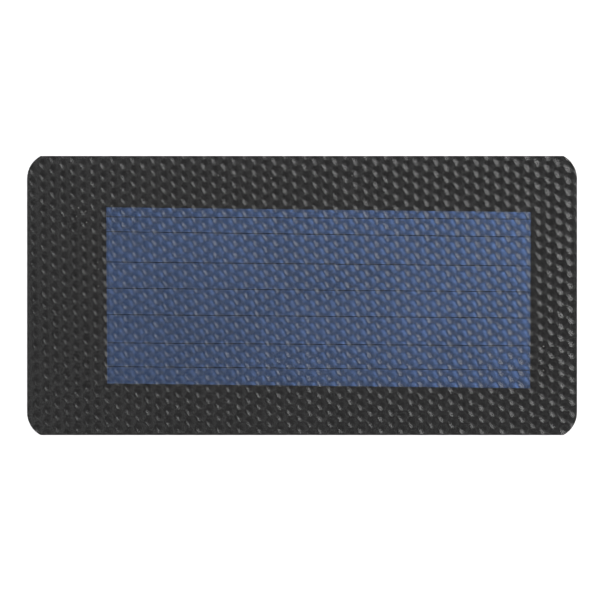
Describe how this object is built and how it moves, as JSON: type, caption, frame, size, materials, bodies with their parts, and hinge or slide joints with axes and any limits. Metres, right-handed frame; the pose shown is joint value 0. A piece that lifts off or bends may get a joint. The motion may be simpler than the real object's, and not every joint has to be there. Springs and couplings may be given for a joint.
{
  "type": "solar panel",
  "caption": "Flexible thin-film solar panel: a steel-foil cell under hand-laid collector wires, sealed between a black backsheet and a dimpled clear film, with solder contacts on the back.",
  "frame": {"origin": "middle of the back face, on the surface that it lies on", "axes": "+X along the length, away from the contact end; +Y across the width; +Z out of the face that looks at the sun"},
  "size_m": [0.197, 0.1, 0.0011],
  "materials": {
    "black_backsheet": "matt black laminate sheet",
    "clear_encapsulant": "clear cross-linked EVA",
    "embossed_film": "clear polyester film, dimpled",
    "steel_foil": "rolled stainless foil",
    "blue_coating": "thin-film silicon under a clear conductor",
    "insulating_tape": "amber tape",
    "coated_wire": "carbon-paste coat over a fine wire",
    "tinned_copper": "tinned copper ribbon",
    "black_tape": "black cover tape",
    "solder": "bright solder",
    "mark_ink": "pale grey print"
  },
  "bodies": {
    "root": {"backsheet": "black_backsheet", "rear_encapsulant": "clear_encapsulant", "front_encapsulant": "clear_encapsulant", "front_film": "embossed_film", "cell_foil": "steel_foil", "cell_coating": "blue_coating", "bus_insulator_left": "insulating_tape", "bus_insulator_right": "insulating_tape", "negative_edge_guard": "insulating_tape", "busbar_left": "tinned_copper", "busbar_right": "tinned_copper", "negative_ribbon": "tinned_copper", "positive_ribbon": "tinned_copper", "busbar_cover_left": "black_tape", "busbar_cover_right": "black_tape", "busbar_solder_joints": "solder", "negative_solder_pad": "solder", "positive_solder_pad": "solder", "polarity_marks": "mark_ink", "grid_wire_1": "coated_wire", "grid_wire_2": "coated_wire", "grid_wire_3": "coated_wire", "grid_wire_4": "coated_wire", "grid_wire_5": "coated_wire", "grid_wire_6": "coated_wire", "grid_wire_7": "coated_wire"}
  },
  "joints": []
}
